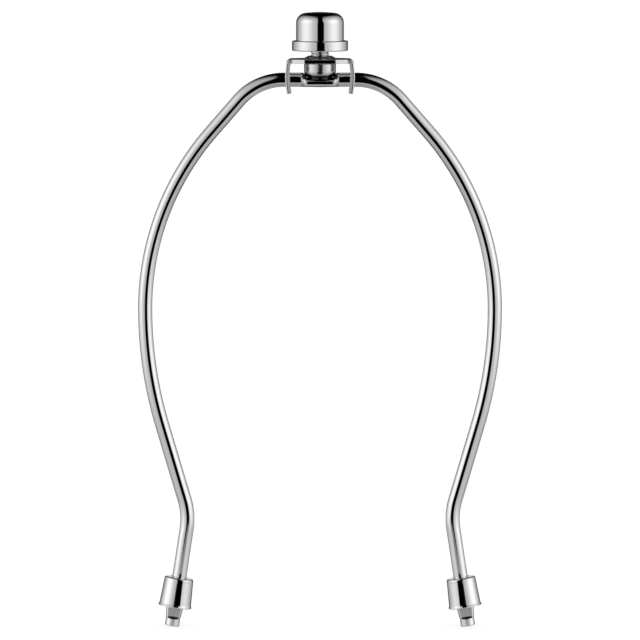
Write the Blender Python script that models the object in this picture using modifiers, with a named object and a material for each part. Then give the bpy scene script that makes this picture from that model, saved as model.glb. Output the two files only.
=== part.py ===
"""Lamp harp: the bent wire bow that stands on a lamp's socket and carries its shade.

The wire runs from one keyed foot over the top to the other. A threaded stud is riveted into
a pad coined in the middle of the wire, a stamped plate sits on the stud's collar with its two
forked legs astride the wire, and a capped finial screws on above. A loose sleeve on each leg
slides down over the foot to lock it in the lamp.

Metres, +Z up. X runs across the bow and Y through it. The origin is on the ground, midway
between the feet, and everything is placed from the wire's centre line.
"""

import math

import bmesh
import bpy
import numpy as np

# Clearances: a fixed seat, and the running gap of a piece that turns or slides
SEAT_GAP = 0.0003
RUNNING_GAP = 0.00035

# Wire: its diameter, and the runs and bends of one half, from the top middle to the foot
WIRE_DIAMETER = 0.0048
TOP_STRAIGHT = 0.0123
SHOULDER_RADIUS = 0.02
SHOULDER_DROP_DEG = 49.0
SHOULDER_STRAIGHT = 0.0146
FLANK_RADIUS = 0.0916
WAIST_RADIUS = 0.1393
WAIST_LEAN_DEG = 16.5
WAIST_STRAIGHT = 0.0266
ANKLE_RADIUS = 0.0233
FOOT_SPLAY_DEG = 8.65
LEG_STRAIGHT = 0.0335

# Pad coined in the middle of the wire, flush with the wire's underside
PAD_THICKNESS = 0.0029
PAD_HALF_LENGTH = 0.0064
PAD_HALF_WIDTH = 0.0046
PAD_CORNER = 0.0022
SINK_DEPTH = 0.0011

# Foot: a round head at the end, a pressed neck above it, and the taper that stops the sleeve
HEAD_DIAMETER = 0.00487
HEAD_LENGTH = 0.0027
HEAD_EDGE = 0.00025
NECK_STEP = 0.0004
NECK_THICKNESS = 0.003
NECK_WIDTH_LOW = 0.005
NECK_WIDTH_HIGH = 0.0062
NECK_TAPER = 0.0012

# Sleeve, measured from the end of the foot
SLEEVE_BOTTOM = 0.0066
SLEEVE_LENGTH = 0.0103
SLEEVE_WALL = 0.0006
SLEEVE_TOP_DIAMETER = 0.0099
SLEEVE_LOW_DIAMETER = 0.0108
SLEEVE_LIP_DIAMETER = 0.0113
SLEEVE_LIP_HEIGHT = 0.0009
SLEEVE_ROUND = 0.001
SLEEVE_TOP_BULGE = 0.00025

# Threaded stud: thread, collar under the plate, and the tail riveted through the pad
THREAD_DIAMETER = 0.0061
THREAD_LENGTH = 0.0122
THREAD_CHAMFER = 0.0006
COLLAR_DIAMETER = 0.01084
COLLAR_BASE_DIAMETER = 0.0075
COLLAR_HEIGHT = 0.00475
COLLAR_CURVE = 0.0021
COLLAR_EDGE = 0.0002
TAIL_DIAMETER = 0.0038

# Top plate: sheet, its blank, the embossed dome and the forked legs
PLATE_THICKNESS = 0.0015
PLATE_HALF_WIDTH = 0.0063
PLATE_WIDE_HALF_LENGTH = 0.0053
PLATE_FLAT_HALF_LENGTH = 0.0095
ARM_HALF_WIDTH = 0.0046
BEND_INSIDE_RADIUS = 0.0005
PLATE_LEG_LENGTH = 0.01
PLATE_LEG_LEAN_OUT_DEG = 8.0
PLATE_LEG_LEAN_IN_DEG = 12.0
DOME_DIAMETER = 0.0122
DOME_TOP_DIAMETER = 0.0074
DOME_RISE = 0.001

# Finial: drawn cap, crimped over the flange of its threaded insert
FINIAL_LIFT = 0.0017
CAP_WALL = 0.0006
RIM_DIAMETER = 0.019
RIM_HEIGHT = 0.0034
RIM_EDGE = 0.00035
CROWN_DIAMETER = 0.0162
CROWN_HEIGHT = 0.0097
CROWN_ROUND = 0.0033
CROWN_BULGE = 0.0003
CROWN_FILLET = 0.0003
CRIMP_WIDTH = 0.0013
INSERT_NUT_DIAMETER = 0.011
INSERT_ROOF = 0.0012

# Facets: sections round the wire, steps round a turned piece and round a bend
WIRE_SIDES = 16
TURNED_STEPS = 32
BEND_STEP_DEG = 6.0

COLOURS = {
    "chrome": (0.80, 0.80, 0.80),
    "nickel": (0.66, 0.65, 0.63),
    "steel": (0.56, 0.57, 0.58),
}

WIRE_RADIUS = WIRE_DIAMETER / 2
FOOT_SPLAY = math.radians(FOOT_SPLAY_DEG)
SHOULDER_DROP = math.radians(SHOULDER_DROP_DEG)
WAIST_LEAN = math.radians(WAIST_LEAN_DEG)
UPRIGHT = math.pi / 2


def bend(radius, turn):
    """A run along an arc: its length, and how far it turns downwards."""
    return (radius * abs(turn), turn)


def straight(length):
    """A run that turns by nothing."""
    return (length, 0.0)


WIRE_RUNS = (
    straight(TOP_STRAIGHT),
    bend(SHOULDER_RADIUS, SHOULDER_DROP),
    straight(SHOULDER_STRAIGHT),
    bend(FLANK_RADIUS, UPRIGHT - SHOULDER_DROP),
    bend(WAIST_RADIUS, WAIST_LEAN),
    straight(WAIST_STRAIGHT),
    bend(ANKLE_RADIUS, -(WAIST_LEAN + FOOT_SPLAY)),
    straight(LEG_STRAIGHT),
)


def place_on(runs, distance):
    """x, z and heading (radians below the horizontal) at a distance along a chain of runs."""
    x = z = heading = 0.0
    for length, turn in runs:
        step = min(distance, length)
        turned = turn * step / length
        if turn:
            radius = length / turn
            x += radius * (math.sin(heading + turned) - math.sin(heading))
            z += radius * (math.cos(heading + turned) - math.cos(heading))
        else:
            x += step * math.cos(heading)
            z -= step * math.sin(heading)
        heading += turned
        distance -= step
    return x, z, heading


def run_length(runs):
    """Length of a whole chain of runs."""
    return sum(length for length, _ in runs)


def stations(runs, extra=()):
    """Distances where a chain needs a section: the ends of runs, steps round bends, extras."""
    found = {0.0, *extra}
    start = 0.0
    for length, turn in runs:
        count = max(1, math.ceil(abs(turn) / math.radians(BEND_STEP_DEG) - 1e-6))
        found.update(start + length * step / count for step in range(1, count + 1))
        start += length
    kept = []
    for distance in sorted(found):
        if not kept or distance - kept[-1] > 1e-6:
            kept.append(distance)
    return kept


WIRE_LENGTH = run_length(WIRE_RUNS)
FOOT_X, FOOT_DROP, _ = place_on(WIRE_RUNS, WIRE_LENGTH)

# Heights, from the ground up: the lowest point is the inner edge of each foot's end
WIRE_TOP_Z = (HEAD_DIAMETER / 2 - HEAD_EDGE) * math.sin(FOOT_SPLAY) - FOOT_DROP
FOOT_Z = WIRE_TOP_Z + FOOT_DROP
PAD_BOTTOM_Z = WIRE_TOP_Z - WIRE_RADIUS
PAD_TOP_Z = PAD_BOTTOM_Z + PAD_THICKNESS
COLLAR_BOTTOM_Z = PAD_TOP_Z + SEAT_GAP
COLLAR_TOP_Z = COLLAR_BOTTOM_Z + COLLAR_HEIGHT
THREAD_TOP_Z = COLLAR_TOP_Z + THREAD_LENGTH


def dome_rise(radius):
    """Height of the embossed dome over the flat plate: a smooth step up towards the middle."""
    share = (DOME_DIAMETER / 2 - radius) / (DOME_DIAMETER / 2 - DOME_TOP_DIAMETER / 2)
    share = min(max(share, 0.0), 1.0)
    return DOME_RISE * share * share * (3 - 2 * share)


PLATE_BOTTOM_Z = COLLAR_TOP_Z + SEAT_GAP - dome_rise(COLLAR_DIAMETER / 2)
PLATE_TOP_Z = PLATE_BOTTOM_Z + PLATE_THICKNESS
RIM_BOTTOM_Z = PLATE_TOP_Z + DOME_RISE + FINIAL_LIFT
RIM_TOP_Z = RIM_BOTTOM_Z + RIM_HEIGHT
CROWN_TOP_Z = RIM_TOP_Z + CROWN_HEIGHT


def clear_scene():
    """Remove whatever the scene starts with."""
    for thing in list(bpy.data.objects):
        bpy.data.objects.remove(thing, do_unlink=True)


def collection(name):
    """A new collection in the scene."""
    made = bpy.data.collections.new(name)
    bpy.context.scene.collection.children.link(made)
    return made


def metal(name, colour, roughness):
    """A plain metal."""
    made = bpy.data.materials.new(name)
    made.use_nodes = True
    shader = made.node_tree.nodes["Principled BSDF"]
    shader.inputs["Base Color"].default_value = (*colour, 1.0)
    shader.inputs["Metallic"].default_value = 1.0
    shader.inputs["Roughness"].default_value = roughness
    return made


def mesh_object(name, home, points, edges, faces, material=None):
    """An object made from points in metres."""
    mesh = bpy.data.meshes.new(name)
    mesh.from_pydata([tuple(point) for point in points], edges, faces)
    mesh.update()
    made = bpy.data.objects.new(name, mesh)
    home.objects.link(made)
    if material:
        mesh.materials.append(material)
    return made


def arc(centre_r, centre_z, radius, start_deg, end_deg, steps):
    """Points (radius, height) round an arc of a turned profile, both ends included."""
    angles = np.radians(np.linspace(start_deg, end_deg, steps + 1))
    return [(centre_r + radius * math.cos(a), centre_z + radius * math.sin(a)) for a in angles]


def turned(name, home, profile, material=None, closed=False):
    """A turned piece. The profile (radius, height) runs down its outer side, and back up its
    inner side where it is closed; an open one starts and ends on the axis."""
    points = [(radius, 0.0, height) for radius, height in profile]
    edges = [(i, i + 1) for i in range(len(points) - 1)]
    if closed:
        edges.append((len(points) - 1, 0))
    made = mesh_object(name, home, points, edges, [], material)
    screw = made.modifiers.new("Turn", "SCREW")
    screw.steps = screw.render_steps = TURNED_STEPS
    screw.use_merge_vertices = True
    screw.merge_threshold = 1e-6
    screw.use_smooth_shade = True
    return made


def as_tool(made):
    """Mark an object as a tool that only shapes others."""
    made.hide_render = True
    made.display_type = "WIRE"
    return made


def combine(target, tool, operation):
    """Cut a tool out of an object, or join it on."""
    boolean = target.modifiers.new(tool.name, "BOOLEAN")
    boolean.operation = operation
    boolean.solver = "EXACT"
    boolean.object = tool


def section(half_out, half_across, flat_out=None, flat_across=None, shift=0.0):
    """A section of the wire: half sizes outwards and across, the flats that cut them short,
    and how far its middle is shifted outwards. A plain round one has no flats."""
    return np.array([
        half_out,
        half_across,
        half_out if flat_out is None else flat_out,
        half_across if flat_across is None else flat_across,
        shift,
    ])


def section_ring(runs, distance, shape):
    """Points of a section set square to the chain at a distance along it."""
    half_out, half_across, flat_out, flat_across, shift = shape
    x, z, heading = place_on(runs, distance)
    angles = np.arange(WIRE_SIDES) * 2 * math.pi / WIRE_SIDES
    out = shift + np.clip(half_out * np.cos(angles), -flat_out, flat_out)
    across = np.clip(half_across * np.sin(angles), -flat_across, flat_across)
    return np.stack([
        x + out * math.sin(heading),
        across,
        WIRE_TOP_Z + z + out * math.cos(heading),
    ], axis=1)


def wire_sections():
    """(distance, section) keys along half the wire: pad, round wire, pressed neck and head."""
    plain = section(WIRE_RADIUS, WIRE_RADIUS)
    # The pad's points at 45 degrees lie where its flat top ends and its rounded edge starts
    diagonal = math.cos(math.pi / 4)
    half_thick = PAD_THICKNESS / 2
    pad = section(half_thick / diagonal, PAD_HALF_WIDTH, flat_out=half_thick,
                  shift=half_thick - WIRE_RADIUS)
    keys = [(0.0, pad)]
    for turn in np.linspace(0, UPRIGHT, 5):
        # A quarter round in plan, from the pad's full width to the wire's
        share = 1 - math.cos(turn)
        keys.append((PAD_HALF_LENGTH - PAD_CORNER * (1 - math.sin(turn)),
                     pad + (plain - pad) * share))

    half_neck = NECK_THICKNESS / 2
    press = half_neck / diagonal
    head = section(HEAD_DIAMETER / 2, HEAD_DIAMETER / 2)
    edge = section(HEAD_DIAMETER / 2 - HEAD_EDGE, HEAD_DIAMETER / 2 - HEAD_EDGE)
    low = section(NECK_WIDTH_LOW / 2, press, flat_across=half_neck)
    high = section(NECK_WIDTH_HIGH / 2, press, flat_across=half_neck)
    # The neck is as wide as it gets where it stops the sleeve, and round again inside the hole
    stop = SLEEVE_BOTTOM + SLEEVE_LENGTH - SLEEVE_WALL
    mid = (HEAD_LENGTH + SLEEVE_BOTTOM) / 2 + NECK_STEP
    from_end = [
        (stop, plain),
        (stop - NECK_TAPER, high),
        (SLEEVE_BOTTOM, low + (high - low) * 0.7),
        (mid, low + (high - low) * 0.4),
        (HEAD_LENGTH + NECK_STEP, low),
        (HEAD_LENGTH, head),
        (HEAD_EDGE, head),
        (0.0, edge),
    ]
    keys += [(WIRE_LENGTH - distance, shape) for distance, shape in from_end]
    return keys


def harp_wire(home, tools, material):
    """The bow: one half as a loft of changing sections along its path, mirrored, with a
    countersunk hole for the stud's tail."""
    keys = wire_sections()
    key_distances = [distance for distance, _ in keys]
    shapes = np.array([shape for _, shape in keys])
    places = stations(WIRE_RUNS, key_distances)
    rings = []
    for distance in places:
        shape = [np.interp(distance, key_distances, column) for column in shapes.T]
        rings.append(section_ring(WIRE_RUNS, distance, shape))
    sides = WIRE_SIDES
    faces = []
    for ring in range(len(rings) - 1):
        for side in range(sides):
            here, over = ring * sides + side, ring * sides + (side + 1) % sides
            faces.append((here, here + sides, over + sides, over))
    last = (len(rings) - 1) * sides
    faces.append([last + side for side in reversed(range(sides))])
    wire = mesh_object("harp_wire", home, np.concatenate(rings), [], faces, material)
    mirror = wire.modifiers.new("Other half", "MIRROR")
    mirror.merge_threshold = 1e-6

    hole = TAIL_DIAMETER / 2 + SEAT_GAP
    past = PAD_THICKNESS
    profile = [
        (0.0, PAD_TOP_Z + past),
        (hole, PAD_TOP_Z + past),
        (hole, PAD_BOTTOM_Z + SINK_DEPTH),
        (hole + SINK_DEPTH + past, PAD_BOTTOM_Z - past),
        (0.0, PAD_BOTTOM_Z - past),
    ]
    drill = as_tool(turned("rivet_hole", tools, profile))
    combine(wire, drill, "DIFFERENCE")
    return wire


def threaded_stud(home, material):
    """The stud, turned in one piece: thread, cup-shaped collar, and a tail riveted flush."""
    thread, collar = THREAD_DIAMETER / 2, COLLAR_DIAMETER / 2
    base, tail = COLLAR_BASE_DIAMETER / 2, TAIL_DIAMETER / 2
    cup = [
        (base + (collar - base) * math.cos(turn),
         COLLAR_BOTTOM_Z + COLLAR_CURVE * (1 - math.sin(turn)))
        for turn in np.linspace(0, UPRIGHT, 6)
    ]
    # The rivet head's 45 degree cone lies one gap inside the countersink
    head_drop = SEAT_GAP * (math.sqrt(2) - 1)
    head_height = SINK_DEPTH - head_drop
    profile = [
        (0.0, THREAD_TOP_Z),
        (thread - THREAD_CHAMFER, THREAD_TOP_Z),
        (thread, THREAD_TOP_Z - THREAD_CHAMFER),
        (thread, COLLAR_TOP_Z),
        (collar - COLLAR_EDGE, COLLAR_TOP_Z),
        (collar, COLLAR_TOP_Z - COLLAR_EDGE),
        *cup,
        (tail, COLLAR_BOTTOM_Z),
        (tail, PAD_BOTTOM_Z + head_height),
        (tail + head_height, PAD_BOTTOM_Z),
        (0.0, PAD_BOTTOM_Z),
    ]
    return turned("threaded_stud", home, profile, material)


def dome_curve(height):
    """Points down the side of the dome laid on a height."""
    radii = np.linspace(DOME_TOP_DIAMETER / 2, DOME_DIAMETER / 2, 7)
    return [(radius, height + dome_rise(radius)) for radius in radii]


def top_plate(home, tools, material):
    """The stamped plate: a tapered strip bent down at both ends and given its thickness, an
    embossed dome with the stud's hole, and a slot up each leg for the wire."""
    middle = PLATE_THICKNESS / 2
    lean_out = math.radians(PLATE_LEG_LEAN_OUT_DEG)
    lean_in = math.radians(PLATE_LEG_LEAN_IN_DEG)
    runs = (
        straight(PLATE_FLAT_HALF_LENGTH),
        bend(BEND_INSIDE_RADIUS + middle, UPRIGHT - lean_out),
        bend(PLATE_LEG_LENGTH / (lean_out + lean_in), lean_out + lean_in),
    )
    taper_keys = (0.0, PLATE_WIDE_HALF_LENGTH, PLATE_FLAT_HALF_LENGTH)
    taper = (PLATE_HALF_WIDTH, PLATE_HALF_WIDTH, ARM_HALF_WIDTH)
    points = []
    for distance in stations(runs, taper_keys):
        x, z, _ = place_on(runs, distance)
        half = float(np.interp(distance, taper_keys, taper))
        points += [(x, -half, PLATE_BOTTOM_Z + middle + z), (x, half, PLATE_BOTTOM_Z + middle + z)]
    faces = [(i, i + 2, i + 3, i + 1) for i in range(0, len(points) - 2, 2)]
    plate = mesh_object("top_plate", home, points, [], faces, material)
    mirror = plate.modifiers.new("Other half", "MIRROR")
    mirror.merge_threshold = 1e-6
    solid = plate.modifiers.new("Sheet", "SOLIDIFY")
    solid.thickness = PLATE_THICKNESS
    solid.offset = 0.0
    solid.use_even_offset = True

    buried = PLATE_THICKNESS / 2
    outer = [(0.0, PLATE_TOP_Z + DOME_RISE), *dome_curve(PLATE_TOP_Z)]
    outer += [(outer[-1][0], PLATE_TOP_Z - buried), (0.0, PLATE_TOP_Z - buried)]
    dome = as_tool(turned("dome", tools, outer))
    combine(plate, dome, "UNION")

    hole = THREAD_DIAMETER / 2 + RUNNING_GAP
    inner = dome_curve(PLATE_BOTTOM_Z)
    inner = [
        (0.0, PLATE_TOP_Z + DOME_RISE + PLATE_THICKNESS),
        (hole, PLATE_TOP_Z + DOME_RISE + PLATE_THICKNESS),
        (hole, inner[0][1]),
        *inner,
        (inner[-1][0], PLATE_BOTTOM_Z - PLATE_THICKNESS),
        (0.0, PLATE_BOTTOM_Z - PLATE_THICKNESS),
    ]
    hollow = as_tool(turned("dome_hollow", tools, inner))
    combine(plate, hollow, "DIFFERENCE")

    # One slot cutter runs right through both legs: a round top over the wire, open below
    half_slot = WIRE_RADIUS + SEAT_GAP
    reach = PLATE_FLAT_HALF_LENGTH + 3 * PLATE_LEG_LENGTH
    below = WIRE_TOP_Z - PLATE_LEG_LENGTH
    outline = [(-half_slot, below)]
    outline += [(-half_slot * math.cos(turn), WIRE_TOP_Z + half_slot * math.sin(turn))
                for turn in np.linspace(0, math.pi, 13)]
    outline += [(half_slot, below)]
    slot = bmesh.new()
    ring = [slot.verts.new((-reach, y, z)) for y, z in outline]
    face = slot.faces.new(ring)
    swept = bmesh.ops.extrude_face_region(slot, geom=[face])
    moved = [item for item in swept["geom"] if isinstance(item, bmesh.types.BMVert)]
    bmesh.ops.translate(slot, verts=moved, vec=(2 * reach, 0, 0))
    bmesh.ops.recalc_face_normals(slot, faces=slot.faces)
    mesh = bpy.data.meshes.new("leg_slots")
    slot.to_mesh(mesh)
    slot.free()
    cutter = as_tool(bpy.data.objects.new("leg_slots", mesh))
    tools.objects.link(cutter)
    combine(plate, cutter, "DIFFERENCE")
    return plate


def finial_cap(home, material):
    """The finial's cap: one drawn shell with a rim, crimped in under the insert's flange."""
    rim, crown, wall = RIM_DIAMETER / 2, CROWN_DIAMETER / 2, CAP_WALL
    inside_round = CROWN_ROUND - wall
    shoulder_r = crown - CROWN_ROUND
    shoulder_z = CROWN_TOP_Z - CROWN_BULGE - CROWN_ROUND
    bulge = [(shoulder_r * share, CROWN_BULGE * (1 - share * share)) for share in (0, 0.35, 0.7)]
    flat_z = CROWN_TOP_Z - CROWN_BULGE
    outer = [(radius, flat_z + rise) for radius, rise in bulge]
    outer += arc(shoulder_r, shoulder_z, CROWN_ROUND, 90, 0, 7)
    outer += arc(crown + CROWN_FILLET, RIM_TOP_Z + CROWN_FILLET, CROWN_FILLET, 180, 270, 3)
    outer += arc(rim - RIM_EDGE, RIM_TOP_Z - RIM_EDGE, RIM_EDGE, 90, 0, 3)
    outer += arc(rim - RIM_EDGE, RIM_BOTTOM_Z + RIM_EDGE, RIM_EDGE, 0, -90, 3)
    lip = rim - wall - CRIMP_WIDTH
    inner = [
        (lip, RIM_BOTTOM_Z),
        (lip, RIM_BOTTOM_Z + wall),
        (rim - wall, RIM_BOTTOM_Z + wall),
        (rim - wall, RIM_TOP_Z - wall),
        (crown - wall, RIM_TOP_Z - wall),
    ]
    inner += arc(shoulder_r, shoulder_z, inside_round, 0, 90, 7)
    inner += [(radius, flat_z - wall + rise) for radius, rise in reversed(bulge)]
    return turned("finial_cap", home, outer + inner, material)


def finial_insert(home, material):
    """The finial's nut: a flange held in the cap's rim and a blind bore that runs on the
    thread. Screwed home, the stud's end meets the bore's."""
    flange = RIM_DIAMETER / 2 - CAP_WALL - SEAT_GAP
    foot = RIM_DIAMETER / 2 - CAP_WALL - CRIMP_WIDTH - SEAT_GAP
    nut = INSERT_NUT_DIAMETER / 2
    bore = THREAD_DIAMETER / 2 + RUNNING_GAP
    bore_top = THREAD_TOP_Z + SEAT_GAP
    flange_top = RIM_TOP_Z - CAP_WALL - SEAT_GAP
    flange_bottom = RIM_BOTTOM_Z + CAP_WALL + SEAT_GAP
    profile = [
        (0.0, bore_top + INSERT_ROOF),
        (nut - THREAD_CHAMFER, bore_top + INSERT_ROOF),
        (nut, bore_top + INSERT_ROOF - THREAD_CHAMFER),
        (nut, flange_top),
        (flange, flange_top),
        (flange, flange_bottom),
        (foot, flange_bottom),
        (foot, RIM_BOTTOM_Z),
        (bore + THREAD_CHAMFER, RIM_BOTTOM_Z),
        (bore, RIM_BOTTOM_Z + THREAD_CHAMFER),
        (bore, bore_top),
        (0.0, bore_top),
    ]
    return turned("finial_insert", home, profile, material)


def sleeve(name, home, material, side):
    """A drawn sleeve, open below and holed above for the wire, set on the splayed leg. Its
    origin is the end of the foot, on the leg's axis."""
    top = SLEEVE_BOTTOM + SLEEVE_LENGTH
    shoulder, low, lip = SLEEVE_TOP_DIAMETER / 2, SLEEVE_LOW_DIAMETER / 2, SLEEVE_LIP_DIAMETER / 2
    hole = WIRE_RADIUS + RUNNING_GAP
    wall, flare = SLEEVE_WALL, SLEEVE_BOTTOM + SLEEVE_LIP_HEIGHT
    inside_round = max(SLEEVE_ROUND - wall, wall / 4)
    brow = top - SLEEVE_TOP_BULGE
    profile = [(hole, top)]
    profile += arc(shoulder - SLEEVE_ROUND, brow - SLEEVE_ROUND, SLEEVE_ROUND, 90, 0, 5)
    profile += [
        (low, flare),
        (lip, SLEEVE_BOTTOM + SLEEVE_LIP_HEIGHT / 4),
        (lip, SLEEVE_BOTTOM),
        (lip - wall, SLEEVE_BOTTOM),
        (low - wall, flare),
    ]
    profile += arc(shoulder - wall - inside_round, brow - wall - inside_round,
                   inside_round, 0, 90, 3)
    profile += [(hole, top - wall)]
    made = turned(name, home, profile, material, closed=True)
    made.location = (side * FOOT_X, 0.0, FOOT_Z)
    made.rotation_euler = (0.0, -side * FOOT_SPLAY, 0.0)
    return made


def build():
    """Model the whole harp."""
    clear_scene()
    harp = collection("lamp_harp")
    tools = collection("tools")
    chrome = metal("polished_chrome", COLOURS["chrome"], 0.06)
    nickel = metal("satin_nickel", COLOURS["nickel"], 0.28)
    steel = metal("plain_steel", COLOURS["steel"], 0.35)
    harp_wire(harp, tools, chrome)
    threaded_stud(harp, nickel)
    top_plate(harp, tools, nickel)
    finial_cap(harp, chrome)
    finial_insert(harp, steel)
    sleeve("left_sleeve", harp, chrome, -1)
    sleeve("right_sleeve", harp, chrome, 1)


build()
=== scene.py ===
# %% [markdown]
# # A chrome lamp harp, piece by piece
#
# A lamp harp is a bow of stiff wire that stands on a lamp's socket and carries the shade. Seven
# pieces make it: the wire, a stud riveted into the middle of it, a stamped plate that the shade
# sits on, a finial made of a drawn cap and a threaded nut, and a loose sleeve on each leg that
# locks the foot in the lamp.
#
# The engineering model is already done. It fixes every size and every place, and this lesson
# dresses it: each piece is made again as a fine surface with its real edges, threads and finish.
# Lengths here are in millimetres until a mesh is made, because a workshop drawing is.

# %% Load the frame and keep its size
import math

import bmesh
import bpy
import numpy as np
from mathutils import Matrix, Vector
from mathutils.geometry import delaunay_2d_cdt


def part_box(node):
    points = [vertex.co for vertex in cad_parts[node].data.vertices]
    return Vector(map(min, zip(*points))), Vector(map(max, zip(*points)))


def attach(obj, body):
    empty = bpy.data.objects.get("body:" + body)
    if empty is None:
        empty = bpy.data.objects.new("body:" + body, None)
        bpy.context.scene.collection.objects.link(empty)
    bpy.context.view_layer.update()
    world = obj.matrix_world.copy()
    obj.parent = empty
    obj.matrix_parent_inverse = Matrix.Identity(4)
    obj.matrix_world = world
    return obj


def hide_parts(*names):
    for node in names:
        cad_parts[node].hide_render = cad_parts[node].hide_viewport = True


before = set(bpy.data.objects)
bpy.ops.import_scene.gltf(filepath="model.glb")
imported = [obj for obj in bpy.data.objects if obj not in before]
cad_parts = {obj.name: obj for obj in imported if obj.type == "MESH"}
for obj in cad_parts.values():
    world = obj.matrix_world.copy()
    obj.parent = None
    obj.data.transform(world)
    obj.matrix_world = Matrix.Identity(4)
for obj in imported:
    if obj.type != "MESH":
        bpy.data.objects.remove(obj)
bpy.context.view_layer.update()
MM = 0.001
print("nodes:", ", ".join(sorted(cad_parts)))

# %% [markdown]
# ## Heights that come from the model
#
# A piece has to sit where the model says, so the heights are read from the model's boxes and
# never typed in. The wire is 4.8 mm thick and its round top is the highest part of its node, so
# its centre line lies half a wire below that.

# %% Read the heights
WIRE_RADIUS = 2.4
PAD_THICK = 2.9
DOME_RISE = 1.0
PLATE_THICK = 1.5


def low_and_high(node):
    """Lowest and highest point of a node of the model, in millimetres."""
    low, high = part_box(node)
    return low.z / MM, high.z / MM


WIRE_Z = low_and_high("harp_wire")[1] - WIRE_RADIUS
PAD_BOTTOM = WIRE_Z - WIRE_RADIUS
PAD_TOP = PAD_BOTTOM + PAD_THICK
THREAD_TOP = low_and_high("threaded_stud")[1]
PLATE_TOP = low_and_high("top_plate")[1] - DOME_RISE
PLATE_MIDDLE = PLATE_TOP - PLATE_THICK / 2
RIM_BOTTOM, CROWN_TOP = low_and_high("finial_cap")
NUT_TOP = low_and_high("finial_insert")[1]
print(f"wire {WIRE_Z:.2f}, pad {PAD_BOTTOM:.2f} to {PAD_TOP:.2f}, plate top {PLATE_TOP:.2f}")
print(f"thread top {THREAD_TOP:.2f}, rim bottom {RIM_BOTTOM:.2f}, crown top {CROWN_TOP:.2f}")

# %% [markdown]
# ## From a grid of points to a mesh
#
# Every piece below but the plate is a grid: rows of points down a profile or along a path, and
# columns round it. numpy works out all of the points at once, and the faces join each point to
# its neighbours. A grid can close on itself both ways, as a tube does round its middle.
#
# Where a row shrinks to a point, as at the tip of a turned piece, its points are welded into
# one. After that the faces are turned outwards, and edges that are really sharp are marked.
#
# Each point also remembers where it is on its own piece, such as how far along the wire. The
# finishes read that, so that drawing marks follow a bend instead of cutting across it.

# %% Helpers for meshes
SHARP_EDGE = math.radians(38)
WELD = 1e-6


def grid_faces(rows, columns, rows_close=False, columns_close=True):
    """Faces of a grid: each joins a point, its neighbour in the row, and the two below them."""
    down = np.arange(rows if rows_close else rows - 1)[:, None]
    across = np.arange(columns if columns_close else columns - 1)[None, :]
    below, beside = (down + 1) % rows, (across + 1) % columns
    corners = [down * columns + across, down * columns + beside,
               below * columns + beside, below * columns + across]
    return np.stack(np.broadcast_arrays(*corners), axis=-1).reshape(-1, 4)


def weld(mesh):
    """Join points that lie on each other, drop faces without area and turn the rest outwards."""
    work = bmesh.new()
    work.from_mesh(mesh)
    bmesh.ops.remove_doubles(work, verts=work.verts, dist=WELD)
    bmesh.ops.dissolve_degenerate(work, edges=work.edges, dist=WELD)
    bmesh.ops.recalc_face_normals(work, faces=work.faces)
    work.to_mesh(mesh)
    work.free()


def make_mesh(name, points, faces, own, **marks):
    """An object from points in millimetres, welded, facing outwards and smooth between its
    sharp edges. own is each point's place on its own piece, and marks are numbers from 0 to 1
    that say where a finish differs."""
    mesh = bpy.data.meshes.new(name)
    mesh.from_pydata(np.reshape(points, (-1, 3)) * MM, [], faces)
    place = mesh.attributes.new("own", "FLOAT_VECTOR", "POINT")
    place.data.foreach_set("vector", np.ravel(own).astype(np.float32))
    for mark, values in marks.items():
        layer = mesh.attributes.new(mark, "FLOAT", "POINT")
        layer.data.foreach_set("value", np.ravel(values).astype(np.float32))
    weld(mesh)
    mesh.shade_smooth()
    mesh.set_sharp_from_angle(angle=SHARP_EDGE)
    made = bpy.data.objects.new(name, mesh)
    bpy.context.scene.collection.objects.link(made)
    print(f"{name}: {len(mesh.vertices)} points, {len(mesh.polygons)} faces")
    return made


# %% [markdown]
# ## Profiles with rounded corners
#
# A turned or drawn piece is one line spun round an axis. A workshop drawing gives that line as
# a few corners and the radius of each one, so that is what the next function takes.
#
# No real edge is perfectly sharp. Even a tenth of a millimetre of rounding catches a line of
# light, and on chrome that line is most of what the eye reads as an edge.

# %% Rounded lines and turned surfaces
ARC_STEP = math.radians(6)


def rounded(corners, closed=False, step=0.3):
    """A line through corners (a, b, radius), each corner rounded by its radius.

    In words: the arc that touches both sides of a corner starts radius / tan(half the corner's
    angle) away from it. With u and v the unit vectors from the arc's centre to its two ends and
    turn the angle between them, its points are centre + radius times
    (u sin((1 - k) turn) + v sin(k turn)) / sin(turn) for k from 0 to 1. Straight stretches
    get a point every step."""
    filled = [(*corner, 0.0)[:3] for corner in corners]
    count = len(filled)
    line = []
    for number, (a, b, radius) in enumerate(filled):
        here = np.array([a, b], float)
        if radius == 0:
            line.append(here[None])
            continue
        back = np.array(filled[(number - 1) % count][:2]) - here
        ahead = np.array(filled[(number + 1) % count][:2]) - here
        back, ahead = back / np.linalg.norm(back), ahead / np.linalg.norm(ahead)
        half = math.acos(np.clip(back @ ahead, -1, 1)) / 2
        turn = math.pi - 2 * half
        centre = here + (back + ahead) / np.linalg.norm(back + ahead) * radius / math.sin(half)
        first = here + back * radius / math.tan(half) - centre
        last = here + ahead * radius / math.tan(half) - centre
        k = np.linspace(0, 1, max(3, math.ceil(turn / ARC_STEP)) + 1)[:, None]
        line.append(centre + (first * np.sin((1 - k) * turn) + last * np.sin(k * turn))
                    / math.sin(turn))
    line = np.concatenate(line)
    starts, ends = (line, np.roll(line, -1, axis=0)) if closed else (line[:-1], line[1:])
    pieces = np.maximum(1, np.ceil(np.linalg.norm(ends - starts, axis=1) / step)).astype(int)
    order = np.arange(pieces.sum()) - np.repeat(np.cumsum(pieces) - pieces, pieces)
    share = (order / np.repeat(pieces, pieces))[:, None]
    starts, ends = np.repeat(starts, pieces, axis=0), np.repeat(ends, pieces, axis=0)
    dense = starts * (1 - share) + ends * share
    return dense if closed else np.concatenate([dense, line[-1:]])


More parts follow.
